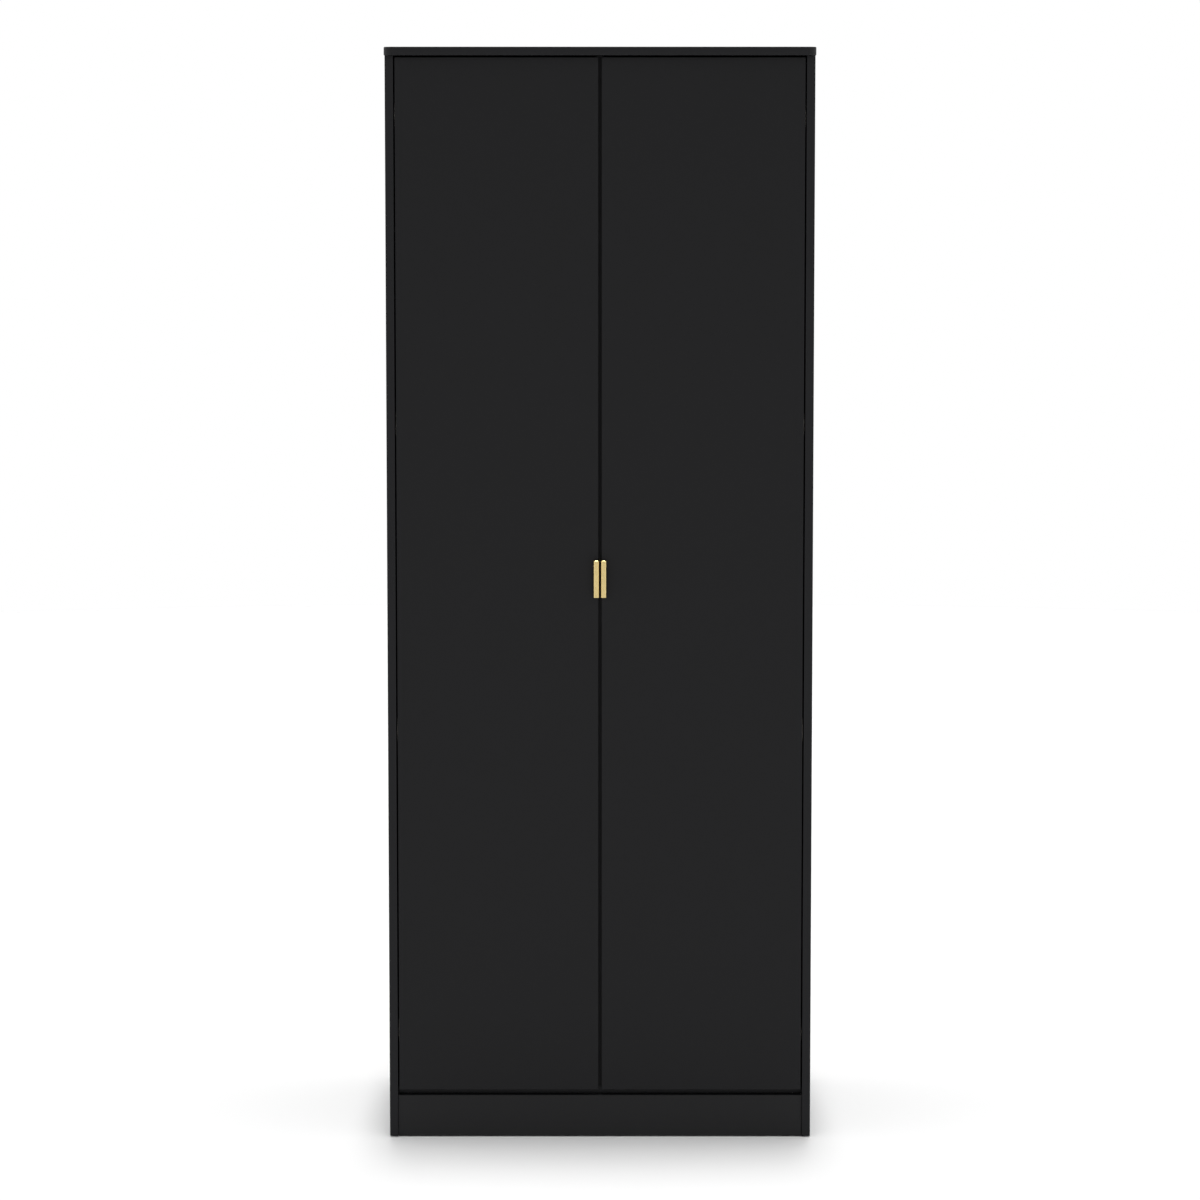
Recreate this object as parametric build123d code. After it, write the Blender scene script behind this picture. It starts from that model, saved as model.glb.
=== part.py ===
from build123d import *
import os

# A tall two-door wardrobe in 15 mm laminated board.
# Millimetres. X runs across the front, +Y towards the wall, +Z up.
# The origin is on the floor, in the middle of the wardrobe's plan.

# ---------------------------------------------------------------- carcass sizes
CARCASS_WIDTH = 765.0
HEIGHT = 1970.0
DEPTH = 530.0
BOARD = 15.0
ARRIS = 0.8

TOP_SIDE_OVERHANG = 1.5
TOP_FRONT_OVERHANG = 18.0
TOP_CORNER_R = 20.0
TOP_ARRIS = 1.5

GLIDE_HEIGHT = 2.0
PLINTH_BOTTOM = 2.5
PLINTH_TOP = 77.0
PLINTH_RECESS = 3.0

BACK_THICK = 3.0
BACK_REBATE = 10.0
BACK_BOTTOM = 60.0
BACK_IN_GROOVE = 5.5
GROOVE_DEEP = 6.0
GROOVE_PLAY = 0.1

HAT_SHELF_Z = 1640.0
SHELF_PIN_Z = (371.0, 691.0, 1011.0, 1331.0)
PIN_PITCH = 32.0
SHELF_SET_BACK = 40.0
SHELF_END_GAP = 1.0
SHELF_REAR_GAP = 3.9
PIN_FROM_EDGE = 37.0

# ---------------------------------------------------------------- door sizes
DOOR_RECESS = 1.0
DOOR_SIDE_GAP = 2.4
DOOR_MIDDLE_GAP = 6.2
DOOR_TOP_GAP = 3.0
DOOR_OVERLAP = 4.5
DOOR_BACK_GAP = 3.5
HINGES = 4
HINGE_END = 100.0
BUFFER_R = 4.0
BUFFER_END = 60.0
BUFFER_EDGE = 4.5
BUFFER_AIR = 0.3

# ---------------------------------------------------------------- pull sizes
PULL_LONG = 67.0
PULL_Z = 1022.0
PULL_SHEET = 1.5
PULL_PROUD = 13.0
PULL_FACE = 10.0
PULL_RETURN = 6.0
PULL_FLANGE = 16.0
PULL_BEND = 3.0
PULL_TIP = 0.3
PULL_SCREW_Z = 25.0

# ---------------------------------------------------------------- hinge sizes
# Each hinge turns on one pin in a 35 mm cup; a hooked neck reaches the pin from the arm.
PIVOT_IN = 10.4
PIVOT_DEEP = 5.2
PIN_R = 1.25
PIN_PLAY = 0.05
PIN_HOLD = 0.03
PIN_HALF = 9.2
CUP_R = 17.5
CUP_DEEP = 13.0
CUP_EDGE = 3.0
CUP_PLAY = 0.05
CUP_WALL = 0.8
CUP_FLOOR = 0.6
CHEEK_WIDE = 5.2
CHEEK_GAP = 0.4
CHEEK_THICK = 1.6
CHEEK_INSET = 0.1
FLANGE = 1.2
FLANGE_RING_R = 19.3
WING_OFFSET = 9.5
WING_R = 7.0
WING_Z = 24.0
EYE_R = 2.2
NECK_HALF = 7.0
NECK_THICK = 2.0
NECK_REACH = 14.5
NECK_RISE = 14.0
NECK_BEND_OUT = 3.2
NECK_BEND_IN = 1.2
ARM_BACK = 62.0
ARM_WEB_OUT = 1.0
ARM_SKIRT = 6.0
ARM_SIDE = 1.5
ARM_BEND = 1.2
ARM_SLOT = 10.0
FIXING_SCREW_Y = 53.0
GRUB_SCREW_Y = 40.0
PLATE_THICK = 2.0
PLATE_FRONT_Y = 36.0
PLATE_BACK_Y = 61.0
PLATE_HALF = 9.5
RIB_FRONT_Y = 44.5
RIB_BACK_Y = 60.0
RIB_PLAY = 0.2
PLATE_SCREW_Y = 46.0
PLATE_SCREW_Z = 16.0
PLATE_WING_R = 6.5

# ---------------------------------------------------------------- rail sizes
RAIL_DROP = 55.0
RAIL_HIGH = 30.0
RAIL_DEEP = 15.0
RAIL_WALL = 1.0
RAIL_PLAY = 0.2
SOCKET_PLATE = 2.0
SOCKET_COLLAR = 9.0
SOCKET_WALL = 1.8
SOCKET_MARGIN = 13.0
SOCKET_SCREW_Z = 22.0

# ---------------------------------------------------------------- fixings
# Screws: shank radius, shank length, head radius, head height.
PLATE_SCREW = (1.9, 13.0, 3.8, 2.0)
FIXING_SCREW = (2.4, 9.0, 4.2, 2.0)
CUP_SCREW = (1.6, 10.0, 3.1, 1.7)
PULL_SCREW = (1.4, 10.0, 2.7, 1.3)
SOCKET_SCREW = (1.6, 13.0, 2.9, 1.7)
BRACKET_SCREW = (1.9, 12.0, 3.6, 2.2)
GRUB_R = 3.0
CROWN_ROUND = 0.6
RECESS_LONG = 1.15
RECESS_WIDE = 0.28
RECESS_DEEP = 0.36
HOLE_PLAY = 0.05
SCREW_CLEARANCE = 0.2

DOWEL_R = 3.95
DOWEL_HOLE_R = 4.0
DOWEL_SHORT = 10.0
DOWEL_LONG = 20.0
DOWEL_PLAY = 0.5
DOWEL_END = 42.0
DOWEL_TOP_FRONT = 47.0
DOWEL_TOP_REAR = 22.0
DOWEL_PLINTH_END = 19.25
DOWEL_STAGGER = 15.0

GLIDE_R = 6.5
GLIDE_EDGE = 0.6
GLIDE_NAIL_R = 1.2
GLIDE_NAIL = 14.0
GLIDE_INSET = 35.0

SHELF_PIN_R = 2.45
SHELF_PIN_DEEP = 9.0
SHELF_PEG_R = 3.0
SHELF_PEG = 9.5

PANEL_PIN_R = 0.75
PANEL_PIN_HEAD_R = 1.6
PANEL_PIN_HEAD = 0.7
PANEL_PIN_LONG = 20.0
BASE_PIN_END = 27.5
SHELF_PIN_END = 67.5
DIVIDER_PIN_END = 157.0

BRACKET_X = 250.0
BRACKET_LEG = 40.0
BRACKET_WIDE = 30.0
BRACKET_THICK = 2.0
BRACKET_BEND = 1.5
BRACKET_HOLE_R = 3.0
BRACKET_HOLE_DROP = 25.0
BRACKET_SCREW_Y = 14.0
BRACKET_SCREW_X = 7.5

# ---------------------------------------------------------------- worked-out places
HALF_BOARD = BOARD / 2
SIDE_OUT = CARCASS_WIDTH / 2
SIDE_IN = SIDE_OUT - BOARD
FRONT = -DEPTH / 2 + TOP_FRONT_OVERHANG
REAR = DEPTH / 2
TOP_UNDER = HEIGHT - BOARD
BASE_TOP = PLINTH_TOP + BOARD
DOOR_FACE = FRONT + DOOR_RECESS
DOOR_BACK = DOOR_FACE + BOARD
DOOR_BOTTOM = BASE_TOP - DOOR_OVERLAP
DOOR_TOP = TOP_UNDER - DOOR_TOP_GAP
DOOR_OUT = SIDE_IN - DOOR_SIDE_GAP
DOOR_IN = DOOR_MIDDLE_GAP / 2
INNER_FRONT = DOOR_BACK + DOOR_BACK_GAP
BACK_REAR = REAR - BACK_REBATE - GROOVE_PLAY
BACK_FRONT = BACK_REAR - BACK_THICK
SHELF_FRONT = INNER_FRONT + SHELF_SET_BACK
SHELF_REAR = BACK_FRONT - SHELF_REAR_GAP
SHELF_PIN_Y = (SHELF_FRONT + PIN_FROM_EDGE, SHELF_REAR - PIN_FROM_EDGE)
GLIDE_Y = (FRONT + GLIDE_INSET, REAR - GLIDE_INSET)
RAIL_Y = (INNER_FRONT + BACK_FRONT) / 2
RAIL_Z = HAT_SHELF_Z - RAIL_DROP
SOCKET_SCREW_PLACES = (RAIL_Z - SOCKET_SCREW_Z, RAIL_Z + SOCKET_SCREW_Z)
WALL_HOLE_Z = TOP_UNDER - BRACKET_HOLE_DROP
PULL_SCREW_X = -DOOR_IN - PULL_FLANGE / 2
PULL_SCREW_PLACES = (PULL_Z - PULL_SCREW_Z, PULL_Z + PULL_SCREW_Z)

PIVOT_X = -(SIDE_IN - PIVOT_IN)
PIVOT_Y = DOOR_FACE + PIVOT_DEEP
CUP_X = -DOOR_OUT + CUP_EDGE + CUP_R
WING_X = CUP_X + WING_OFFSET
WEB_X = PIVOT_X + ARM_WEB_OUT
WEB_UNDER = WEB_X - NECK_THICK
ARM_FRONT = PIVOT_Y + NECK_RISE


def spread(first, last, count):
    """Evenly spaced places from first to last."""
    return [first + i * (last - first) / (count - 1) for i in range(count)]


HINGE_Z = spread(DOOR_BOTTOM + HINGE_END, DOOR_TOP - HINGE_END, HINGES)


# ---------------------------------------------------------------- helpers
def block(x0, x1, y0, y1, z0, z1):
    """A board or block from its six faces."""
    at = Pos((x0 + x1) / 2, (y0 + y1) / 2, (z0 + z1) / 2)
    return at * Box(abs(x1 - x0), abs(y1 - y0), abs(z1 - z0))


def rod(radius, start, direction, length):
    """A round bar from a start point along a direction."""
    return Plane(origin=start, z_dir=direction) * Cylinder(
        radius, length, align=(Align.CENTER, Align.CENTER, Align.MIN)
    )


def moved(point, way, distance):
    return tuple(p + w * distance for p, w in zip(point, way))


def edges_at_y(body, y):
    """Every edge that lies on the plane Y = y."""
    return [e for e in body.edges() if all(abs(v.Y - y) < 1e-4 for v in e.vertices())]


def front_eased(board, y):
    """The board with the arrises of its front edge eased."""
    return fillet(edges_at_y(board, y), ARRIS)


def upright_edges(body, places):
    """The body's upright edges that stand at the given X, Y places."""
    found = []
    for edge in body.edges().filter_by(Axis.Z):
        c = edge.center()
        if any(abs(c.X - x) < 0.01 and abs(c.Y - y) < 0.01 for x, y in places):
            found.append(edge)
    return found


def meet(a, b):
    """Whether two bounding boxes share any space."""
    one_way = all(low < high for low, high in zip(a.min, b.max))
    return one_way and all(low < high for low, high in zip(b.min, a.max))


def bored(board, holes):
    """The board with those of the holes that reach it."""
    box = board.bounding_box()
    return board - [hole for hole in holes if meet(hole.bounding_box(), box)]


def cross_recess(crown, way, head_r):
    """The shape of a driver's cross, sunk into a screw's crown along way."""
    long, wide, deep = (head_r * share for share in (RECESS_LONG, RECESS_WIDE, RECESS_DEEP))
    return Plane(origin=crown, z_dir=way) * (Box(long, wide, 2 * deep) + Box(wide, long, 2 * deep))


def pan_screw(point, way, size):
    """A pan-head screw: its head starts at the point and its shank runs along way."""
    shank_r, shank_long, head_r, head_high = size
    head = rod(head_r, moved(point, way, -head_high), way, head_high)
    rims = head.edges().filter_by(GeomType.CIRCLE)
    crown = [e for e in rims if (e.arc_center - Vector(*point)).length > head_high / 2]
    head = fillet(crown, head_high * CROWN_ROUND)
    screw = head + rod(shank_r, point, way, shank_long)
    return screw - cross_recess(moved(point, way, -head_high), way, head_r)


def pilot(face_point, way, size, passed):
    """The hole in the board for a screw that has passed through metal of a given thickness."""
    shank_r, shank_long = size[:2]
    return rod(shank_r + HOLE_PLAY, face_point, way, shank_long - passed + 0.5)


def clear_hole(point, way, size, thick):
    """A clearance hole for a screw through metal of a given thickness."""
    return rod(size[0] + SCREW_CLEARANCE, moved(point, way, -1), way, thick + 2)


def mirrored(body):
    return mirror(body, about=Plane.YZ)


def save(name, body):
    solids = body if isinstance(body, list) else [body]
    shape = solids[0] if len(solids) == 1 else Compound(children=solids)
    export_step(shape, f"parts/{name}.step")


# ---------------------------------------------------------------- dowels
def dowel_places():
    """Each dowel: its joint face's point, and the direction of its long end."""
    places = []
    rows = spread(INNER_FRONT + DOWEL_END, BACK_FRONT - DOWEL_END, 3)
    top_rows = spread(FRONT + DOWEL_TOP_FRONT, BACK_FRONT - DOWEL_TOP_REAR, 4)
    plinth_rows = (FRONT + PLINTH_RECESS + HALF_BOARD, BACK_FRONT - HALF_BOARD)
    plinth_heights = (PLINTH_BOTTOM + DOWEL_PLINTH_END, PLINTH_TOP - DOWEL_PLINTH_END)
    shelf_mid = HAT_SHELF_Z + HALF_BOARD
    for side in (-1, 1):
        face, inwards = side * SIDE_IN, (-side, 0, 0)
        places += [((side * (SIDE_OUT - HALF_BOARD), y, TOP_UNDER), (0, 0, -1)) for y in top_rows]
        places += [((face, y, PLINTH_TOP + HALF_BOARD), inwards) for y in rows]
        places += [((face, y, z), inwards) for y in plinth_rows for z in plinth_heights]
        for y in (rows[0], rows[-1]):
            places.append(((face, y, shelf_mid), inwards))
            places.append(((side * HALF_BOARD, y + side * DOWEL_STAGGER, shelf_mid), (side, 0, 0)))
    places += [((0, y, TOP_UNDER), (0, 0, -1)) for y in rows]
    places += [((0, y, BASE_TOP), (0, 0, 1)) for y in rows]
    return places


def dowel(point, way, radius, play):
    """A dowel, or with play its hole, laid through a joint face."""
    length = DOWEL_SHORT + DOWEL_LONG + 2 * play
    return rod(radius, moved(point, way, -DOWEL_SHORT - play), way, length)


DOWEL_HOLES = [dowel(p, w, DOWEL_HOLE_R, DOWEL_PLAY) for p, w in dowel_places()]


# ---------------------------------------------------------------- back panel pins
def panel_pin_points():
    """Where pins go through the back into the base, the divider and the hat shelves."""
    base_row = spread(BASE_PIN_END - SIDE_IN, SIDE_IN - BASE_PIN_END, 6)
    points = [(x, PLINTH_TOP + HALF_BOARD) for x in base_row]
    column = spread(BASE_TOP + DIVIDER_PIN_END, TOP_UNDER - DIVIDER_PIN_END, 8)
    points += [(0.0, z) for z in column]
    for x in (SHELF_PIN_END, SIDE_IN - SHELF_PIN_END):
        points += [(side * x, HAT_SHELF_Z + HALF_BOARD) for side in (-1, 1)]
    return points


PANEL_PIN_HOLES = [
    rod(PANEL_PIN_R + HOLE_PLAY, (x, BACK_REAR + 0.1, z), (0, -1, 0), PANEL_PIN_LONG + 1.0)
    for x, z in panel_pin_points()
]


# ---------------------------------------------------------------- carcass boards
def side_panel(side):
    """A side: rear groove for the back, holes for hinges, dowels, glides and inner fittings."""
    inner, outer = side * SIDE_IN, side * SIDE_OUT
    panel = front_eased(block(inner, outer, FRONT, REAR, GLIDE_HEIGHT, TOP_UNDER), FRONT)
    groove = block(
        inner, inner + side * GROOVE_DEEP,
        BACK_FRONT - GROOVE_PLAY, BACK_REAR + GROOVE_PLAY,
        0, HEIGHT,
    )
    holes = [
        pilot((inner, PIVOT_Y + PLATE_SCREW_Y, z + dz), (side, 0, 0), PLATE_SCREW, PLATE_THICK)
        for z in HINGE_Z
        for dz in (-PLATE_SCREW_Z, PLATE_SCREW_Z)
    ]
    for y in GLIDE_Y:
        at = (side * (SIDE_OUT - HALF_BOARD), y, GLIDE_HEIGHT)
        holes.append(rod(GLIDE_NAIL_R + HOLE_PLAY, at, (0, 0, 1), GLIDE_NAIL + 1))
    fittings = shelf_pin_holes if side > 0 else socket_screw_holes
    holes += fittings(inner, side)
    return bored(panel, DOWEL_HOLES) - [groove] - holes


def shelf_pin_holes(face_x, way):
    """Three holes at each pin, so that a shelf can go up or down one step."""
    return [
        rod(SHELF_PIN_R + HOLE_PLAY, (face_x, y, z + step), (way, 0, 0), SHELF_PIN_DEEP + 0.5)
        for y in SHELF_PIN_Y
        for z in SHELF_PIN_Z
        for step in (-PIN_PITCH, 0, PIN_PITCH)
    ]


def socket_screw_holes(face_x, way):
    return [
        pilot((face_x, RAIL_Y, z), (way, 0, 0), SOCKET_SCREW, SOCKET_PLATE)
        for z in SOCKET_SCREW_PLACES
    ]


def centre_divider():
    """The upright that splits the inside in two and stands behind the doors' meeting edges."""
    board = block(-HALF_BOARD, HALF_BOARD, INNER_FRONT, BACK_FRONT, BASE_TOP, TOP_UNDER)
    board = bored(front_eased(board, INNER_FRONT), DOWEL_HOLES + PANEL_PIN_HOLES)
    return board - shelf_pin_holes(HALF_BOARD, -1) - socket_screw_holes(-HALF_BOARD, 1)


def top_panel():
    """The top: round front corners, an eased rim, a stopped groove for the back."""
    half = SIDE_OUT + TOP_SIDE_OVERHANG
    board = block(-half, half, -DEPTH / 2, REAR, TOP_UNDER, HEIGHT)
    board = fillet(upright_edges(board, [(-half, -DEPTH / 2), (half, -DEPTH / 2)]), TOP_CORNER_R)
    rim = [e for e in board.edges().filter_by(Plane.XY) if e.center().Y < REAR - 1]
    board = fillet(rim, TOP_ARRIS)
    groove = block(
        -SIDE_IN - GROOVE_DEEP, SIDE_IN + GROOVE_DEEP,
        BACK_FRONT - GROOVE_PLAY, BACK_REAR + GROOVE_PLAY,
        TOP_UNDER - 1, TOP_UNDER + GROOVE_DEEP,
    )
    screws = [
        pilot((x, y, TOP_UNDER), (0, 0, 1), BRACKET_SCREW, BRACKET_THICK)
        for x, y in bracket_screw_points()
    ]
    return bored(board, DOWEL_HOLES) - [groove] - screws


def base_panel():
    board = block(-SIDE_IN, SIDE_IN, INNER_FRONT, BACK_FRONT, PLINTH_TOP, BASE_TOP)
    return bored(front_eased(board, INNER_FRONT), DOWEL_HOLES + PANEL_PIN_HOLES)


def plinth(front_y):
    """A board on edge under the base, let in between the sides."""
    board = block(-SIDE_IN, SIDE_IN, front_y, front_y + BOARD, PLINTH_BOTTOM, PLINTH_TOP)
    return bored(front_eased(board, front_y), DOWEL_HOLES)


def hat_shelf(side):
    """A fixed shelf between a side and the divider."""
    x0, x1, z0 = side * HALF_BOARD, side * SIDE_IN, HAT_SHELF_Z
    board = block(x0, x1, INNER_FRONT, BACK_FRONT, z0, z0 + BOARD)
    return bored(front_eased(board, INNER_FRONT), DOWEL_HOLES + PANEL_PIN_HOLES)


def adjustable_shelf(pin_z):
    """A loose shelf that rests on four pins."""
    z0 = pin_z + SHELF_PEG_R
    x0, x1 = HALF_BOARD + SHELF_END_GAP, SIDE_IN - SHELF_END_GAP
    return front_eased(block(x0, x1, SHELF_FRONT, SHELF_REAR, z0, z0 + BOARD), SHELF_FRONT)


def back_panel():
    """Thin hardboard, held in the sides' and top's grooves."""
    half = SIDE_IN + BACK_IN_GROOVE
    sheet = block(-half, half, BACK_FRONT, BACK_REAR, BACK_BOTTOM, TOP_UNDER + BACK_IN_GROOVE)
    wall_holes = [
        rod(BRACKET_HOLE_R, (x, BACK_FRONT - 1, WALL_HOLE_Z), (0, 1, 0), BACK_THICK + 2)
        for x in (-BRACKET_X, BRACKET_X)
    ]
    return sheet - PANEL_PIN_HOLES - wall_holes


# ---------------------------------------------------------------- carcass fittings
def floor_glides():
    """Nail-in glides under the sides' lower edges."""
    glides = []
    for x in (HALF_BOARD - SIDE_OUT, SIDE_OUT - HALF_BOARD):
        for y in GLIDE_Y:
            disc = rod(GLIDE_R, (x, y, 0), (0, 0, 1), GLIDE_HEIGHT)
            disc = fillet(disc.edges().group_by(Axis.Z)[0], GLIDE_EDGE)
            glides.append(disc + rod(GLIDE_NAIL_R, (x, y, GLIDE_HEIGHT), (0, 0, 1), GLIDE_NAIL))
    return glides


def shelf_pins():
    """Stepped pins: a stem in the hole and a thicker peg under the shelf."""
    pins = []
    for face_x, way in ((SIDE_IN, -1), (HALF_BOARD, 1)):
        for y in SHELF_PIN_Y:
            for z in SHELF_PIN_Z:
                stem = rod(SHELF_PIN_R, (face_x, y, z), (-way, 0, 0), SHELF_PIN_DEEP)
                pins.append(stem + rod(SHELF_PEG_R, (face_x, y, z), (way, 0, 0), SHELF_PEG))
    return pins


def back_panel_pins():
    """Small flat-headed pins that hold the back to the boards' rear edges."""
    pins = []
    for x, z in panel_pin_points():
        head = rod(PANEL_PIN_HEAD_R, (x, BACK_REAR, z), (0, 1, 0), PANEL_PIN_HEAD)
        pins.append(head + rod(PANEL_PIN_R, (x, BACK_REAR, z), (0, -1, 0), PANEL_PIN_LONG))
    return pins


def bracket_screw_points():
    y = BACK_FRONT - BRACKET_LEG + BRACKET_SCREW_Y
    return [
        (side * BRACKET_X + dx, y)
        for side in (-1, 1)
        for dx in (-BRACKET_SCREW_X, BRACKET_SCREW_X)
    ]


def wall_bracket(side):
    """A steel angle under the top, with a hole for the screw into the wall."""
    x = side * BRACKET_X
    x0, x1 = x - BRACKET_WIDE / 2, x + BRACKET_WIDE / 2
    inner_y, inner_z = BACK_FRONT - BRACKET_THICK, TOP_UNDER - BRACKET_THICK
    angle = block(x0, x1, BACK_FRONT - BRACKET_LEG, BACK_FRONT, inner_z, TOP_UNDER)
    angle += block(x0, x1, inner_y, BACK_FRONT, TOP_UNDER - BRACKET_LEG, TOP_UNDER)
    bend = [
        e
        for e in angle.edges().filter_by(Axis.X)
        if abs(e.center().Y - inner_y) < 0.01 and abs(e.center().Z - inner_z) < 0.01
    ]
    angle = fillet(bend, BRACKET_BEND)
    wall_hole = rod(
        BRACKET_HOLE_R, (x, inner_y - 1, WALL_HOLE_Z), (0, 1, 0), BRACKET_THICK + 2
    )
    screw_holes = [
        clear_hole((screw_x, screw_y, inner_z), (0, 0, 1), BRACKET_SCREW, BRACKET_THICK)
        for screw_x, screw_y in bracket_screw_points()
    ]
    return angle - [wall_hole] - screw_holes


def wall_bracket_screws():
    z = TOP_UNDER - BRACKET_THICK
    return [pan_screw((x, y, z), (0, 0, 1), BRACKET_SCREW) for x, y in bracket_screw_points()]


# ---------------------------------------------------------------- hanging rail
def oval(high, deep, x0, x1):
    """A slot-shaped bar along X, its long side upright, centred on the rail."""
    start, end = min(x0, x1), max(x0, x1)
    face = Plane(origin=(start, RAIL_Y, RAIL_Z), x_dir=(0, 0, 1), z_dir=(1, 0, 0))
    return extrude(face * SlotOverall(high, deep), end - start)


def hanging_rail():
    """An oval tube between the left side and the divider."""
    x0 = -SIDE_IN + SOCKET_PLATE + RAIL_PLAY
    x1 = -HALF_BOARD - SOCKET_PLATE - RAIL_PLAY
    bore = oval(RAIL_HIGH - 2 * RAIL_WALL, RAIL_DEEP - 2 * RAIL_WALL, x0 - 1, x1 + 1)
    return oval(RAIL_HIGH, RAIL_DEEP, x0, x1) - bore


def rail_socket(face_x, way):
    """A screwed plate with an oval collar that takes the rail's end."""
    seat = face_x + way * SOCKET_PLATE
    rim = seat + way * SOCKET_COLLAR
    plate = oval(RAIL_HIGH + 2 * SOCKET_MARGIN, RAIL_DEEP + SOCKET_MARGIN, face_x, seat)
    around = 2 * SOCKET_WALL + RAIL_PLAY
    collar = oval(RAIL_HIGH + around, RAIL_DEEP + around, seat, rim)
    collar -= oval(RAIL_HIGH + RAIL_PLAY, RAIL_DEEP + RAIL_PLAY, seat, rim)
    holes = [
        clear_hole((face_x, RAIL_Y, z), (way, 0, 0), SOCKET_SCREW, SOCKET_PLATE)
        for z in SOCKET_SCREW_PLACES
    ]
    return plate + collar - holes


def rail_socket_screws():
    return [
        pan_screw((face_x + way * SOCKET_PLATE, RAIL_Y, z), (-way, 0, 0), SOCKET_SCREW)
        for face_x, way in ((-SIDE_IN, 1), (-HALF_BOARD, -1))
        for z in SOCKET_SCREW_PLACES
    ]


# ---------------------------------------------------------------- hinges, left side
def hinge_cup(z):
    """A drawn steel cup with a winged flange and two cheeks that hold the pin."""
    floor = DOOR_BACK - CUP_DEEP + CUP_PLAY
    outer_r = CUP_R - CUP_PLAY
    deep = DOOR_BACK - floor
    cup = rod(outer_r, (CUP_X, floor, z), (0, 1, 0), deep)
    cup += rod(FLANGE_RING_R, (CUP_X, DOOR_BACK, z), (0, 1, 0), FLANGE)
    cup += block(
        WING_X - WING_R, WING_X + WING_R,
        DOOR_BACK, DOOR_BACK + FLANGE,
        z - WING_Z, z + WING_Z,
    )
    for dz in (-WING_Z, WING_Z):
        cup += rod(WING_R, (WING_X, DOOR_BACK, z + dz), (0, 1, 0), FLANGE)
    cup -= rod(outer_r - CUP_WALL, (CUP_X, floor + CUP_FLOOR, z), (0, 1, 0), deep + FLANGE)
    cheek_in = NECK_HALF + CHEEK_GAP
    cheek_out = cheek_in + CHEEK_THICK
    bounds = rod(outer_r - CHEEK_INSET, (CUP_X, floor, z), (0, 1, 0), deep)
    for way in (-1, 1):
        cheek = block(
            PIVOT_X - CHEEK_WIDE / 2, PIVOT_X + CHEEK_WIDE / 2,
            floor + CUP_FLOOR / 2, PIVOT_Y + CHEEK_WIDE / 2,
            z + way * cheek_in, z + way * cheek_out,
        )
        cup += cheek & bounds
    pin_hole = rod(
        PIN_R + PIN_HOLD, (PIVOT_X, PIVOT_Y, z - cheek_out - 1), (0, 0, 1), 2 * cheek_out + 2
    )
    screw_holes = [
        clear_hole((WING_X, DOOR_BACK, z + dz), (0, 1, 0), CUP_SCREW, FLANGE)
        for dz in (-WING_Z, WING_Z)
    ]
    return cup - [pin_hole] - screw_holes


def hinge_pin(z):
    return rod(PIN_R, (PIVOT_X, PIVOT_Y, z - PIN_HALF), (0, 0, 1), 2 * PIN_HALF)


def hinge_neck(z):
    """The hooked strip that runs from the pin, out of the cup and back to the arm."""
    z0, z1 = z - NECK_HALF, z + NECK_HALF
    low, high = PIVOT_Y - EYE_R, ARM_FRONT
    reach, reach_out = PIVOT_X + NECK_REACH, PIVOT_X + NECK_REACH + NECK_THICK
    neck = block(PIVOT_X, reach_out, low, low + NECK_THICK, z0, z1)
    neck += block(reach, reach_out, low, high + NECK_THICK, z0, z1)
    neck += block(WEB_UNDER, reach_out, high, high + NECK_THICK, z0, z1)
    outside = [(reach_out, low), (reach_out, high + NECK_THICK)]
    neck = fillet(upright_edges(neck, outside), NECK_BEND_OUT)
    inside = [(reach, low + NECK_THICK), (reach, high)]
    return fillet(upright_edges(neck, inside), NECK_BEND_IN)


def hinge_arm(z):
    """The hooked neck with its pin eye, and the channel that sits over the plate's rib."""
    half, wide = NECK_HALF, NECK_HALF + ARM_SIDE
    skirt, back = WEB_UNDER - ARM_SKIRT, PIVOT_Y + ARM_BACK
    channel = block(skirt, WEB_X, ARM_FRONT, back, z - wide, z + wide)
    channel -= block(skirt - 1, WEB_UNDER, ARM_FRONT - 1, back + 1, z - half, z + half)
    shoulders = [e for e in channel.edges().filter_by(Axis.Y) if abs(e.center().X - WEB_X) < 0.01]
    channel = fillet(shoulders, ARM_BEND)
    eye = rod(EYE_R, (PIVOT_X, PIVOT_Y, z - half), (0, 0, 1), 2 * half)
    bore = rod(PIN_R + PIN_PLAY, (PIVOT_X, PIVOT_Y, z - half - 1), (0, 0, 1), 2 * half + 2)
    slot_at = (WEB_UNDER - 1, PIVOT_Y + FIXING_SCREW_Y, z)
    slot_face = Plane(origin=slot_at, x_dir=(0, 1, 0), z_dir=(1, 0, 0))
    slot_wide = 2 * (FIXING_SCREW[0] + SCREW_CLEARANCE)
    slot = extrude(slot_face * SlotOverall(ARM_SLOT, slot_wide), NECK_THICK + 2)
    grub_at = (WEB_UNDER - 1, PIVOT_Y + GRUB_SCREW_Y, z)
    grub_hole = rod(GRUB_R + HOLE_PLAY, grub_at, (1, 0, 0), NECK_THICK + 2)
    return hinge_neck(z) + channel + eye - [bore, slot, grub_hole]


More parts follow.
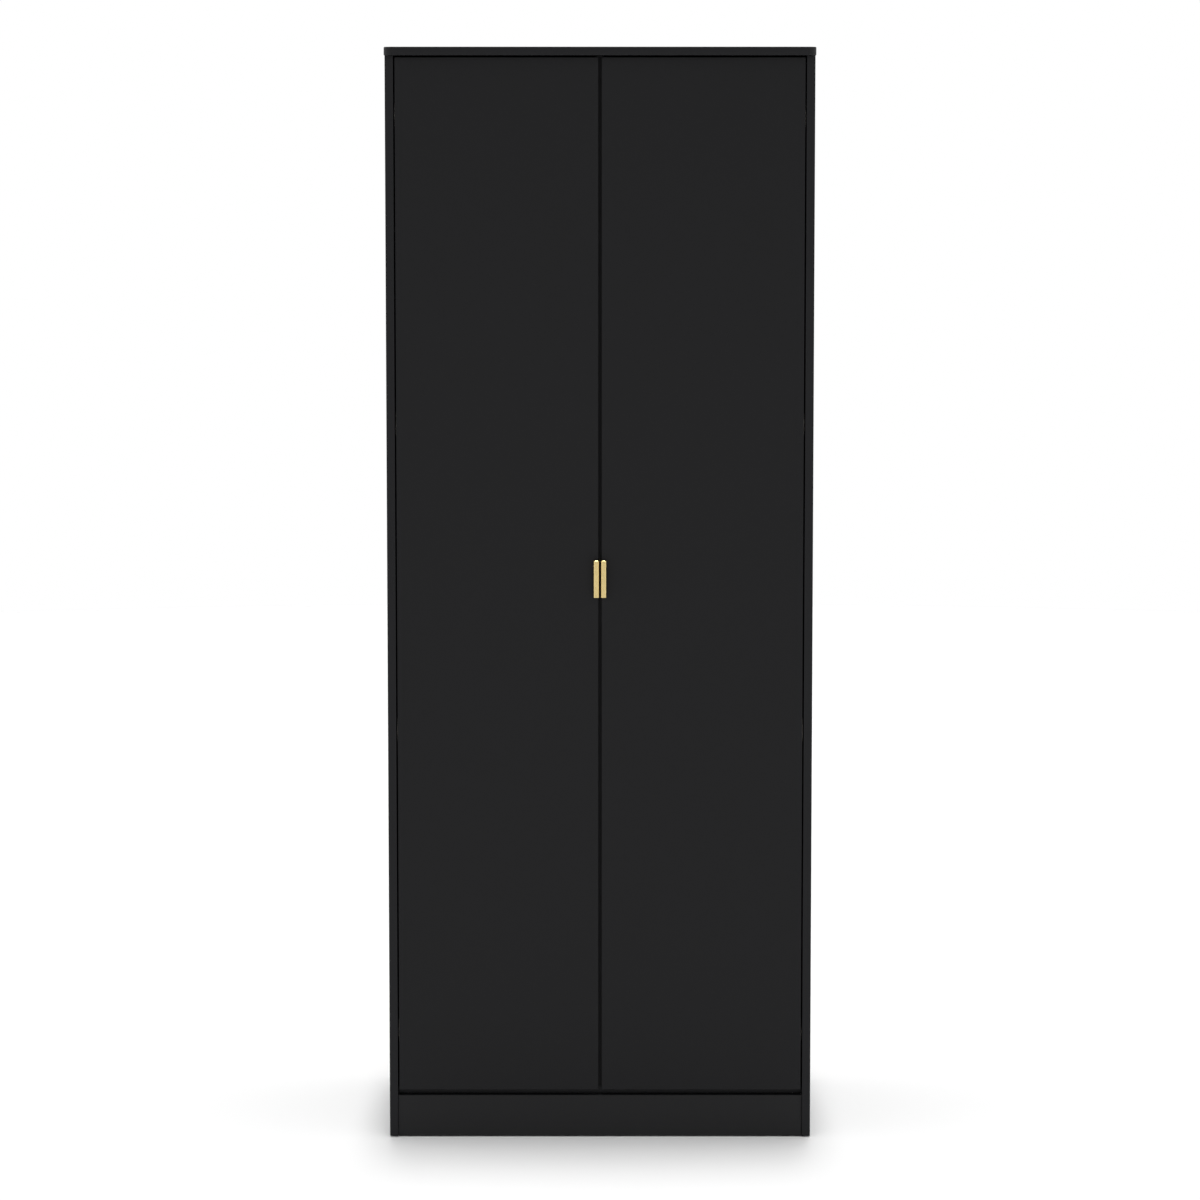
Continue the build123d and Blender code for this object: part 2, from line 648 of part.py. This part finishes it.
def hinge_plate(z):
    """A cross plate on the side: a rib inside the arm and two screwed wings."""
    face, top = -SIDE_IN, -SIDE_IN + PLATE_THICK
    front, back, mid = PIVOT_Y + PLATE_FRONT_Y, PIVOT_Y + PLATE_BACK_Y, PIVOT_Y + PLATE_SCREW_Y
    rib_half = NECK_HALF - RIB_PLAY
    plate = block(face, top, front, back, z - PLATE_HALF, z + PLATE_HALF)
    plate += block(
        face, top, mid - PLATE_WING_R, mid + PLATE_WING_R, z - PLATE_SCREW_Z, z + PLATE_SCREW_Z
    )
    for dz in (-PLATE_SCREW_Z, PLATE_SCREW_Z):
        plate += rod(PLATE_WING_R, (face, mid, z + dz), (1, 0, 0), PLATE_THICK)
    plate += block(
        face, WEB_UNDER, PIVOT_Y + RIB_FRONT_Y, PIVOT_Y + RIB_BACK_Y, z - rib_half, z + rib_half
    )
    fixing_at = (face + 1, PIVOT_Y + FIXING_SCREW_Y, z)
    fixing = rod(FIXING_SCREW[0] + HOLE_PLAY, fixing_at, (1, 0, 0), PIVOT_IN)
    screw_holes = [
        clear_hole((face, mid, z + dz), (1, 0, 0), PLATE_SCREW, PLATE_THICK)
        for dz in (-PLATE_SCREW_Z, PLATE_SCREW_Z)
    ]
    return plate - [fixing] - screw_holes


def plate_screws():
    x, y = -SIDE_IN + PLATE_THICK, PIVOT_Y + PLATE_SCREW_Y
    return [
        pan_screw((x, y, z + dz), (-1, 0, 0), PLATE_SCREW)
        for z in HINGE_Z
        for dz in (-PLATE_SCREW_Z, PLATE_SCREW_Z)
    ]


def arm_screws():
    """A fixing screw into the plate's rib, and a grub screw on the plate that sets the side gap."""
    grub_long = WEB_X + SIDE_IN - PLATE_THICK
    screws = []
    for z in HINGE_Z:
        screws.append(pan_screw((WEB_X, PIVOT_Y + FIXING_SCREW_Y, z), (-1, 0, 0), FIXING_SCREW))
        grub_at = (WEB_X, PIVOT_Y + GRUB_SCREW_Y, z)
        grub = rod(GRUB_R, grub_at, (-1, 0, 0), grub_long)
        screws.append(grub - cross_recess(grub_at, (-1, 0, 0), GRUB_R))
    return screws


def cup_screws():
    return [
        pan_screw((WING_X, DOOR_BACK + FLANGE, z + dz), (0, -1, 0), CUP_SCREW)
        for z in HINGE_Z
        for dz in (-WING_Z, WING_Z)
    ]


# ---------------------------------------------------------------- doors, left side
def door_panel():
    """The door board with its hinge cup bores and pilot holes."""
    board = block(-DOOR_OUT, -DOOR_IN, DOOR_FACE, DOOR_BACK, DOOR_BOTTOM, DOOR_TOP)
    board = front_eased(board, DOOR_FACE)
    board = fillet(edges_at_y(board, DOOR_BACK), ARRIS / 2)
    inwards = (0, -1, 0)
    holes = [
        pilot((PULL_SCREW_X, DOOR_BACK, z), inwards, PULL_SCREW, PULL_SHEET)
        for z in PULL_SCREW_PLACES
    ]
    for z in HINGE_Z:
        holes.append(rod(CUP_R, (CUP_X, DOOR_BACK, z), inwards, CUP_DEEP))
        for dz in (-WING_Z, WING_Z):
            holes.append(pilot((WING_X, DOOR_BACK, z + dz), inwards, CUP_SCREW, FLANGE))
    return board - holes


def pull():
    """A folded edge pull: screwed flange, web over the door's edge, round-cornered grip."""
    z0, z1 = PULL_Z - PULL_LONG / 2, PULL_Z + PULL_LONG / 2
    edge, web_out = -DOOR_IN, -DOOR_IN + PULL_SHEET
    grip_out, grip_in = web_out - PULL_FACE, web_out - PULL_FACE + PULL_SHEET
    nose, behind_nose = DOOR_FACE - PULL_PROUD, DOOR_FACE - PULL_PROUD + PULL_SHEET
    back = DOOR_BACK + PULL_SHEET
    body = block(edge - PULL_FLANGE, web_out, DOOR_BACK, back, z0, z1)
    body += block(edge, web_out, nose, back, z0, z1)
    body += block(grip_out, web_out, nose, behind_nose, z0, z1)
    body += block(grip_out, grip_in, nose, nose + PULL_RETURN, z0, z1)
    body = fillet(upright_edges(body, [(web_out, nose), (grip_out, nose)]), PULL_BEND)
    inside = [(edge, behind_nose), (grip_in, behind_nose)]
    body = fillet(upright_edges(body, inside), PULL_BEND - PULL_SHEET)
    body = fillet(upright_edges(body, [(web_out, back)]), PULL_SHEET)
    ends = body.edges().group_by(Axis.Z)
    body = chamfer(ends[0] + ends[-1], PULL_TIP)
    holes = [
        clear_hole((PULL_SCREW_X, DOOR_BACK, z), (0, 1, 0), PULL_SCREW, PULL_SHEET)
        for z in PULL_SCREW_PLACES
    ]
    return body - holes


def pull_screws():
    return [
        pan_screw((PULL_SCREW_X, DOOR_BACK + PULL_SHEET, z), (0, -1, 0), PULL_SCREW)
        for z in PULL_SCREW_PLACES
    ]


def door_buffers():
    """Soft dots that meet the divider's front edge when the door shuts."""
    dots = []
    for z in (DOOR_BOTTOM + BUFFER_END, DOOR_TOP - BUFFER_END):
        at = (-DOOR_IN - BUFFER_EDGE, DOOR_BACK, z)
        dot = rod(BUFFER_R, at, (0, 1, 0), DOOR_BACK_GAP - BUFFER_AIR)
        dots.append(fillet(dot.edges().group_by(Axis.Y)[-1], BUFFER_R / 4))
    return dots


# ---------------------------------------------------------------- writing the parts
def write_carcass():
    save("side_panel_left", side_panel(-1))
    save("side_panel_right", side_panel(1))
    save("top_panel", top_panel())
    save("base_panel", base_panel())
    save("centre_divider", centre_divider())
    save("front_plinth", plinth(FRONT + PLINTH_RECESS))
    save("rear_plinth", plinth(BACK_FRONT - BOARD))
    save("back_panel", back_panel())
    save("hat_shelf_left", hat_shelf(-1))
    save("hat_shelf_right", hat_shelf(1))
    for number, pin_z in enumerate(SHELF_PIN_Z, 1):
        save(f"adjustable_shelf_{number}", adjustable_shelf(pin_z))


def write_fittings():
    save("shelf_pins", shelf_pins())
    save("floor_glides", floor_glides())
    save("carcass_dowels", [dowel(p, w, DOWEL_R, 0.0) for p, w in dowel_places()])
    save("back_panel_pins", back_panel_pins())
    save("wall_bracket_left", wall_bracket(-1))
    save("wall_bracket_right", wall_bracket(1))
    save("wall_bracket_screws", wall_bracket_screws())
    save("hanging_rail", hanging_rail())
    save("rail_socket_outer", rail_socket(-SIDE_IN, 1))
    save("rail_socket_inner", rail_socket(-HALF_BOARD, -1))
    save("rail_socket_screws", rail_socket_screws())


def write_door(side_name, place):
    """One door with its hinges; place puts a left-hand piece on its own side."""
    save(f"{side_name}_door_panel", place(door_panel()))
    save(f"{side_name}_pull", place(pull()))
    save(f"{side_name}_pull_screws", [place(s) for s in pull_screws()])
    save(f"{side_name}_door_buffers", [place(s) for s in door_buffers()])
    save(f"{side_name}_cup_screws", [place(s) for s in cup_screws()])
    save(f"{side_name}_hinge_pins", [place(hinge_pin(z)) for z in HINGE_Z])
    save(f"{side_name}_hinge_plates", [place(hinge_plate(z)) for z in HINGE_Z])
    save(f"{side_name}_plate_screws", [place(s) for s in plate_screws()])
    save(f"{side_name}_arm_screws", [place(s) for s in arm_screws()])
    for number, z in enumerate(HINGE_Z, 1):
        save(f"{side_name}_hinge_cup_{number}", place(hinge_cup(z)))
        save(f"{side_name}_hinge_arm_{number}", place(hinge_arm(z)))


os.makedirs("parts", exist_ok=True)
write_carcass()
write_fittings()
write_door("left", lambda body: body)
write_door("right", mirrored)
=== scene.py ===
"""A tall narrow wardrobe in black laminated board, with pale gold edge pulls."""
import bmesh
import bpy
import math
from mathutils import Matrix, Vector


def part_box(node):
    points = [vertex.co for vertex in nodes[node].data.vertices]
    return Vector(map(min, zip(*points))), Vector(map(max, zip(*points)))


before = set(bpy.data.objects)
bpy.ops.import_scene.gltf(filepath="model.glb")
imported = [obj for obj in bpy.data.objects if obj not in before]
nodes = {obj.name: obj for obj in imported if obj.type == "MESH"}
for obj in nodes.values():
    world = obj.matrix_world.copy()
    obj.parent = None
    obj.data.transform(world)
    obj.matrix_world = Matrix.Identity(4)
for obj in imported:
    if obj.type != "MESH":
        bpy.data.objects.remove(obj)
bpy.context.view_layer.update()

MM = 0.001
SIDES = ("left", "right")
HINGES = range(1, 5)
SHELVES = range(1, 5)


# ---------------------------------------------------------------- material helpers
def colour(hex_value):
    """An sRGB hex value as linear red, green, blue and full alpha."""
    parts = [int(hex_value[i:i + 2], 16) / 255 for i in (1, 3, 5)]
    return [c / 12.92 if c <= 0.04045 else ((c + 0.055) / 1.055) ** 2.4 for c in parts] + [1.0]


def add(tree, kind, values=None, links=None, **settings):
    """Adds one shader node, with its settings, its socket values and what feeds its sockets."""
    made = tree.nodes.new("ShaderNode" + kind)
    for name, value in settings.items():
        setattr(made, name, value)
    for socket, value in (values or {}).items():
        made.inputs[socket].default_value = value
    for socket, source in (links or {}).items():
        tree.links.new(source, made.inputs[socket])
    return made


def start_material(name, **values):
    """A new material with its shader's own sockets set; gives material, tree and shader."""
    material = bpy.data.materials.new(name)
    material.use_nodes = True
    tree = material.node_tree
    shader = tree.nodes["Principled BSDF"]
    for socket, value in values.items():
        shader.inputs[socket.replace("_", " ")].default_value = value
    return material, tree, shader


def plug(tree, shader, **sources):
    """Feeds the shader's sockets, which are named with underscores for spaces."""
    for socket, source in sources.items():
        tree.links.new(source, shader.inputs[socket.replace("_", " ")])


def centred(tree, centre=(0, 0, 0), scale=(1, 1, 1), turn=(0, 0, 0)):
    """Object coordinates with a pattern's centre moved to a piece's own centre."""
    where = add(tree, "TexCoord").outputs["Object"]
    shifted = add(
        tree, "Mapping", {"Location": [-c for c in centre]}, {"Vector": where}, vector_type="POINT"
    )
    return add(
        tree, "Mapping", {"Scale": scale, "Rotation": turn}, {"Vector": shifted.outputs[0]}
    ).outputs[0]


def dress(name, material):
    """Gives a CAD node its finish."""
    piece = nodes[name]
    piece.data.materials.clear()
    piece.data.materials.append(material)


# ---------------------------------------------------------------- finishes
# Each bump is its strength and then its depth in metres; each pair of roughness values is
# the least and the most.

# Black board: the edging strip, its glue line, and the faces' slow and fine patterns.
BAND = 0.8 * MM
SEAM = 0.12 * MM
SEAM_SHADE = "#0c0c0c"
SEAM_DROP = -1.2
BOARD_DRIFT = 140 * MM
BOARD_GRAIN = 0.9 * MM
BOARD_ROUGH = (0.49, 0.55)
GRAIN_ROUGH = 0.05
BAND_ROUGH = -0.08
BOARD_BUMP = (0.35, 0.05 * MM)

# Hardboard: the fibres' size, slant and shades, the inner foil and the wire screen's print.
FIBRE_CLOUD = 60 * MM
FIBRE_WIDE = 2.2 * MM
FIBRE_STRETCH = 0.35
FIBRE_TURN = 20
FIBRE_SHADES = ((0.30, "#584031"), (0.50, "#7b5b40"), (0.72, "#9a7a58"))
FIBRE_TINTS = ("#c9b7a3", "#ffffff")
FOIL_SHADE = "#1e1e1f"
FOIL_AND_BARE_ROUGH = (0.52, 0.85)
FACES_OUT = 0.3
SCREEN_PITCH = 3 * MM
SCREEN_PRINT = 0.25
HARDBOARD_BUMP = (0.6, 0.15 * MM)

# Metals, plastics and beech.
BRUSHED_BUMP = (0.35, 0.02 * MM)
PLATED_ROUGH_SHARES = (0.75, 1.35)
PLATED_BUMP = (0.2, 0.03 * MM)
PLASTIC_PITS = 0.4 * MM
PLASTIC_BUMP = (0.3, 0.03 * MM)
BEECH_FLECK = 1.5 * MM
BEECH_SHADES = ("#b98f66", "#dcb98f")


def black_melamine(name, dark="#161617", pale="#18181a"):
    """Melamine-faced chipboard, pressed against a fine matt plate, with ABS edging glued on.
    The faces are an even charcoal black with a soft sheen and a very fine grain; the 0.8 mm
    edging is a little smoother and its glue line shows as a hair-thin dark seam."""
    lo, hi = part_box(name)
    centre, half = (lo + hi) / 2, (hi - lo) / 2
    thin = min(range(3), key=lambda axis: half[axis])
    material, tree, shader = start_material(
        "black_melamine_" + name, Roughness=0.5, Specular_IOR_Level=0.17, IOR=1.5
    )
    place = centred(tree, centre)

    # How far in a point is from the nearest edge of the board's wide faces.
    inset = add(tree, "VectorMath", links={0: place}, operation="ABSOLUTE")
    inset = add(
        tree, "VectorMath", {0: list(half)}, {1: inset.outputs[0]}, operation="SUBTRACT"
    )
    split = add(tree, "SeparateXYZ", links={0: inset.outputs[0]})
    across = [split.outputs[axis] for axis in range(3) if axis != thin]
    edge = add(tree, "Math", links={0: across[0], 1: across[1]}, operation="MINIMUM").outputs[0]
    banded = add(
        tree, "MapRange",
        {"From Min": BAND - SEAM / 4, "From Max": BAND + SEAM / 4, "To Min": 1.0, "To Max": 0.0},
        {"Value": edge}
    ).outputs[0]
    off_seam = add(tree, "Math", {1: BAND}, {0: edge}, operation="SUBTRACT")
    off_seam = add(tree, "Math", links={0: off_seam.outputs[0]}, operation="ABSOLUTE")
    seam = add(
        tree, "MapRange", {"From Min": SEAM / 4, "From Max": SEAM, "To Min": 1.0, "To Max": 0.0},
        {"Value": off_seam.outputs[0]}
    ).outputs[0]

    # Slow changes over a hand's width, from pressing and handling.
    drift = add(
        tree, "TexNoise", {"Scale": 1 / BOARD_DRIFT, "Detail": 3.0, "Roughness": 0.55},
        {"Vector": place}
    ).outputs["Fac"]
    # The plate's grain is about 0.3 mm; it is drawn at 0.9 mm so that it shows close up.
    grain = add(
        tree, "TexNoise", {"Scale": 1 / BOARD_GRAIN, "Detail": 2.0, "Roughness": 0.6},
        {"Vector": place}
    ).outputs["Fac"]

    board = add(tree, "MixRGB", {1: colour(dark), 2: colour(pale)}, {0: drift}).outputs[0]
    edging = add(tree, "MixRGB", {2: colour(pale)}, {0: banded, 1: board}).outputs[0]
    shade = add(tree, "MixRGB", {2: colour(SEAM_SHADE)}, {0: seam, 1: edging}).outputs[0]

    rough = add(
        tree, "MapRange", {"To Min": BOARD_ROUGH[0], "To Max": BOARD_ROUGH[1]}, {"Value": drift}
    ).outputs[0]
    speck = add(
        tree, "MapRange", {"To Min": -GRAIN_ROUGH, "To Max": GRAIN_ROUGH}, {"Value": grain}
    ).outputs[0]
    rough = add(tree, "Math", links={0: rough, 1: speck}, operation="ADD").outputs[0]
    smoother = add(tree, "Math", {1: BAND_ROUGH}, {0: banded}, operation="MULTIPLY").outputs[0]
    rough = add(tree, "Math", links={0: rough, 1: smoother}, operation="ADD").outputs[0]

    lower = add(tree, "Math", {1: SEAM_DROP}, {0: seam}, operation="MULTIPLY").outputs[0]
    height = add(tree, "Math", links={0: grain, 1: lower}, operation="ADD").outputs[0]
    bump = add(
        tree, "Bump", {"Strength": BOARD_BUMP[0], "Distance": BOARD_BUMP[1]}, {"Height": height}
    ).outputs[0]
    plug(tree, shader, Base_Color=shade, Roughness=rough, Normal=bump)
    return material


def raw_hardboard(name):
    """Hardboard: wood fibre pressed hot. Its outer face is bare brown with short darker and
    paler fibres and the print of the wire screen; its inner face has a black paper foil."""
    material, tree, shader = start_material(
        "raw_hardboard", Roughness=0.8, Specular_IOR_Level=0.25, IOR=1.5
    )
    lo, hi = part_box(name)
    centre = (lo + hi) / 2
    place = centred(tree, centre)
    cloud = add(
        tree, "TexNoise", {"Scale": 1 / FIBRE_CLOUD, "Detail": 4.0, "Roughness": 0.6},
        {"Vector": place}
    ).outputs["Fac"]
    strands = centred(
        tree, centre, scale=(1.0, 1.0, FIBRE_STRETCH), turn=(0, math.radians(FIBRE_TURN), 0)
    )
    fibre = add(
        tree, "TexNoise", {"Scale": 1 / FIBRE_WIDE, "Detail": 5.0, "Roughness": 0.7},
        {"Vector": strands}
    ).outputs["Fac"]
    brown = add(tree, "ValToRGB", links={0: fibre})
    stops = brown.color_ramp.elements
    stops.new(FIBRE_SHADES[1][0])
    for stop, (level, shade) in zip(stops, FIBRE_SHADES):
        stop.position, stop.color = level, colour(shade)
    tint = add(
        tree, "MixRGB", {1: colour(FIBRE_TINTS[0]), 2: colour(FIBRE_TINTS[1])}, {0: cloud}
    ).outputs[0]
    bare = add(
        tree, "MixRGB", {0: 1.0}, {1: brown.outputs[0], 2: tint}, blend_type="MULTIPLY"
    ).outputs[0]
    facing = add(tree, "TexCoord").outputs["Normal"]
    facing = add(tree, "SeparateXYZ", links={0: facing}).outputs[1]
    outer = add(tree, "Math", {1: FACES_OUT}, {0: facing}, operation="GREATER_THAN").outputs[0]
    both = add(tree, "MixRGB", {1: colour(FOIL_SHADE)}, {0: outer, 2: bare}).outputs[0]
    foil_rough, bare_rough = FOIL_AND_BARE_ROUGH
    rough = add(
        tree, "MapRange", {"To Min": foil_rough, "To Max": bare_rough}, {"Value": outer}
    ).outputs[0]

    # The wire screen leaves squares about 1.5 mm apart; they are drawn at 3 mm to show.
    split = add(tree, "SeparateXYZ", links={0: place})
    waves = []
    for axis in (0, 2):
        turn = add(
            tree, "Math", {1: math.pi / SCREEN_PITCH}, {0: split.outputs[axis]},
            operation="MULTIPLY"
        ).outputs[0]
        waves.append(add(tree, "Math", links={0: turn}, operation="SINE").outputs[0])
    screen = add(tree, "Math", links={0: waves[0], 1: waves[1]}, operation="MULTIPLY").outputs[0]
    screen = add(tree, "Math", {1: SCREEN_PRINT}, {0: screen}, operation="MULTIPLY").outputs[0]
    height = add(tree, "Math", links={0: fibre, 1: screen}, operation="ADD").outputs[0]
    height = add(tree, "Math", links={0: height, 1: outer}, operation="MULTIPLY").outputs[0]
    bump = add(
        tree, "Bump", {"Strength": HARDBOARD_BUMP[0], "Distance": HARDBOARD_BUMP[1]},
        {"Height": height}
    ).outputs[0]
    plug(tree, shader, Base_Color=both, Roughness=rough, Normal=bump)
    return material


def brushed_metal(name, shade, shine, roughness, along, grain=0.25, length=14.0, contrast=0.08):
    """A metal rubbed one way with a fine abrasive belt: pale and dark hairlines run along it
    and stretch its highlights across. The grain's width and length are in millimetres."""
    material, tree, shader = start_material(name, Metallic=1.0, Roughness=roughness)
    scale = [1 / (grain * MM)] * 3
    scale[along] = 1 / (length * MM)
    place = centred(tree, scale=scale)
    hairs = add(
        tree, "TexNoise", {"Scale": 1.0, "Detail": 3.0, "Roughness": 0.65}, {"Vector": place}
    ).outputs["Fac"]
    tint = add(tree, "MixRGB", {1: colour(shade), 2: colour(shine)}, {0: hairs}).outputs[0]
    rough = add(
        tree, "MapRange", {"To Min": roughness - contrast, "To Max": roughness + contrast},
        {"Value": hairs}
    ).outputs[0]
    bump = add(
        tree, "Bump", {"Strength": BRUSHED_BUMP[0], "Distance": BRUSHED_BUMP[1]},
        {"Height": hairs}
    ).outputs[0]
    plug(tree, shader, Base_Color=tint, Roughness=rough, Normal=bump)
    return material


def plated_steel(name, shade, shine, roughness, cell=1.5):
    """Pressed steel with a thin electroplated coat: bright, with faint clouding and shallow
    dimples left by the tumbling barrel. The cell is the clouding's size in millimetres."""
    material, tree, shader = start_material(name, Metallic=1.0, Roughness=roughness)
    place = centred(tree)
    cloud = add(
        tree, "TexNoise", {"Scale": 1 / (cell * MM), "Detail": 4.0, "Roughness": 0.6},
        {"Vector": place}
    ).outputs["Fac"]
    tint = add(tree, "MixRGB", {1: colour(shade), 2: colour(shine)}, {0: cloud}).outputs[0]
    least, most = PLATED_ROUGH_SHARES
    rough = add(
        tree, "MapRange",
        {"To Min": roughness * least, "To Max": roughness * most},
        {"Value": cloud}
    ).outputs[0]
    bump = add(
        tree, "Bump", {"Strength": PLATED_BUMP[0], "Distance": PLATED_BUMP[1]}, {"Height": cloud}
    ).outputs[0]
    plug(tree, shader, Base_Color=tint, Roughness=rough, Normal=bump)
    return material


def moulded_plastic(name, shade, shine, roughness):
    """Injection-moulded plastic with a light spark-eroded texture: even, slightly waxy."""
    material, tree, shader = start_material(name, Roughness=roughness, IOR=1.5)
    place = centred(tree)
    pits = add(
        tree, "TexNoise", {"Scale": 1 / PLASTIC_PITS, "Detail": 2.0}, {"Vector": place}
    ).outputs["Fac"]
    tint = add(tree, "MixRGB", {1: colour(shade), 2: colour(shine)}, {0: pits}).outputs[0]
    bump = add(
        tree, "Bump", {"Strength": PLASTIC_BUMP[0], "Distance": PLASTIC_BUMP[1]}, {"Height": pits}
    ).outputs[0]
    plug(tree, shader, Base_Color=tint, Normal=bump)
    return material


def turned_beech(name):
    """Beech rod, turned and fluted: pale pinkish brown with short dark flecks."""
    material, tree, shader = start_material(name, Roughness=0.6, IOR=1.5)
    place = centred(tree)
    fleck = add(
        tree, "TexNoise", {"Scale": 1 / BEECH_FLECK, "Detail": 4.0}, {"Vector": place}
    ).outputs["Fac"]
    tint = add(
        tree, "MixRGB", {1: colour(BEECH_SHADES[0]), 2: colour(BEECH_SHADES[1])}, {0: fleck}
    ).outputs[0]
    plug(tree, shader, Base_Color=tint)
    return material


# ---------------------------------------------------------------- dressing the pieces
def dress_boards():
    """The black boards each get a finish centred on them; the plinths are painted a shade paler,
    painted light that brightens them against the shade they get from the floor's shadow.
    """
    boards = ["side_panel_left", "side_panel_right", "top_panel", "base_panel", "centre_divider",
              "hat_shelf_left", "hat_shelf_right"]
    boards += [f"adjustable_shelf_{number}" for number in SHELVES]
    boards += [f"{side}_door_panel" for side in SIDES]
    for name in boards:
        dress(name, black_melamine(name))
    # Painted light: the plinths' paler pair of shades brightens them where the shadowed floor
    # below leaves them in shade.
    for name in ("front_plinth", "rear_plinth"):
        dress(name, black_melamine(name, dark="#1e1e1f", pale="#202021"))
    dress("back_panel", raw_hardboard("back_panel"))


def dress_fittings():
    """Pulls, hinges, rail, pins, screws, buffers, glides and dowels."""
    gold = brushed_metal("satin_brass", "#cfb677", "#e9d59c", 0.25, along=2, contrast=0.12)
    nickel = plated_steel("nickel_plated_steel", "#b5b1a8", "#d6d2c9", 0.32)
    zinc = plated_steel("zinc_plated_steel", "#a9adb1", "#c9cdd0", 0.34, cell=2.5)
    chrome = brushed_metal(
        "chromed_tube", "#cfd1d3", "#e4e6e8", 0.10, along=0, grain=0.6, length=60.0, contrast=0.03
    )
    plastic = moulded_plastic("black_polyethylene", "#1a1a1a", "#222222", 0.5)
    soft = moulded_plastic("soft_polyurethane", "#a5a5a0", "#bcbcb6", 0.35)
    beech = turned_beech("turned_beech")

    for name in ("rail_socket_outer", "rail_socket_inner", "shelf_pins"):
        dress(name, nickel)
    for name in ("wall_bracket_left", "wall_bracket_right", "wall_bracket_screws",
                 "rail_socket_screws", "back_panel_pins"):
        dress(name, zinc)
    dress("hanging_rail", chrome)
    dress("floor_glides", plastic)
    dress("carcass_dowels", beech)
    for side in SIDES:
        dress(f"{side}_pull", gold)
        dress(f"{side}_door_buffers", soft)
        for kind in ("pull_screws", "cup_screws", "plate_screws", "arm_screws"):
            dress(f"{side}_{kind}", zinc)
        for kind in ("hinge_pins", "hinge_plates"):
            dress(f"{side}_{kind}", nickel)
        for number in HINGES:
            dress(f"{side}_hinge_cup_{number}", nickel)
            dress(f"{side}_hinge_arm_{number}", nickel)


# ---------------------------------------------------------------- studio
# Lengths are in metres, angles in degrees and the lens in millimetres.
CAMERA_BACK = 7.545
CAMERA_HIGH = 1.770
CAMERA_DIP = 5.95
CAMERA_REACH = 200.0
LENS = 126.57
FLOOR_RADIUS = 9.0
FLOOR_FACETS = 96
FLOOR_SHADE = "#e7e7e7"
WHITE = "#ffffff"
ROOM_SIDES = 1.2
ROOM_FRONT = 0.76
ROOM_ABOVE = 0.10
TOP_LIGHT = 2.62
LAMPS = 5
LAMP_HIGH = 6.0
LAMP_SPREAD = 4.1
LAMP_STEP = 3.48
LAMP_LEAN = -2.1
LAMP_ROLL = 0.19


def floor():
    """A round pale floor, wide enough to run out of sight."""
    bm = bmesh.new()
    bmesh.ops.create_circle(bm, cap_ends=True, segments=FLOOR_FACETS, radius=FLOOR_RADIUS)
    mesh = bpy.data.meshes.new("floor")
    bm.to_mesh(mesh)
    bm.free()
    disc = bpy.data.objects.new("floor", mesh)
    bpy.context.scene.collection.objects.link(disc)
    paint = start_material(
        "floor_paint", Roughness=0.9, Specular_IOR_Level=0.0, Base_Color=colour(FLOOR_SHADE)
    )[0]
    mesh.materials.append(paint)


def room():
    """A pale room whose light differs to the sides, front and above, before a white backdrop."""
    world = bpy.data.worlds.new("pale_room")
    world.use_nodes = True
    bpy.context.scene.world = world
    tree = world.node_tree
    walls = tree.nodes["Background"]
    walls.inputs["Color"].default_value = colour(WHITE)
    way = add(tree, "TexCoord").outputs["Generated"]
    squared = add(tree, "VectorMath", links={0: way, 1: way}, operation="MULTIPLY").outputs[0]
    glow = add(
        tree, "VectorMath", {1: (ROOM_SIDES, ROOM_FRONT, ROOM_ABOVE)}, {0: squared},
        operation="DOT_PRODUCT"
    ).outputs["Value"]
    tree.links.new(glow, walls.inputs["Strength"])
    backdrop = add(tree, "Background", {"Color": colour(WHITE), "Strength": 1.0})
    seen = add(tree, "LightPath").outputs["Is Camera Ray"]
    both = add(tree, "MixShader", links={0: seen, 1: walls.outputs[0], 2: backdrop.outputs[0]})
    tree.links.new(both.outputs[0], tree.nodes["World Output"].inputs["Surface"])


def lamps():
    """A row of soft lamps overhead, from behind the wardrobe to before it, dimmer at its ends."""
    reach = LAMP_STEP * LAMPS / 2
    leans = [LAMP_STEP * (number - (LAMPS - 1) / 2) for number in range(LAMPS)]
    shares = [math.sqrt(reach ** 2 - lean ** 2) for lean in leans]
    for lean, share in zip(leans, shares):
        light = bpy.data.lights.new("overhead", "SUN")
        light.energy = TOP_LIGHT * share / sum(shares)
        light.angle = math.radians(LAMP_SPREAD)
        lamp = bpy.data.objects.new("overhead", light)
        lamp.location = (0.0, 0.0, LAMP_HIGH)
        lamp.rotation_euler = (math.radians(LAMP_LEAN + lean), math.radians(LAMP_ROLL), 0.0)
        bpy.context.scene.collection.objects.link(lamp)


def camera():
    """A long lens straight in front, a little below the top and dipped to the middle."""
    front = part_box("side_panel_left")[0].y
    lens = bpy.data.cameras.new("camera")
    lens.lens = LENS
    lens.clip_end = CAMERA_REACH
    eye = bpy.data.objects.new("camera", lens)
    eye.location = (0.0, front - CAMERA_BACK, CAMERA_HIGH)
    eye.rotation_euler = (math.radians(90 - CAMERA_DIP), 0.0, 0.0)
    bpy.context.scene.collection.objects.link(eye)
    bpy.context.scene.camera = eye


dress_boards()
dress_fittings()
floor()
room()
lamps()
camera()
bpy.context.scene.view_settings.view_transform = "Standard"
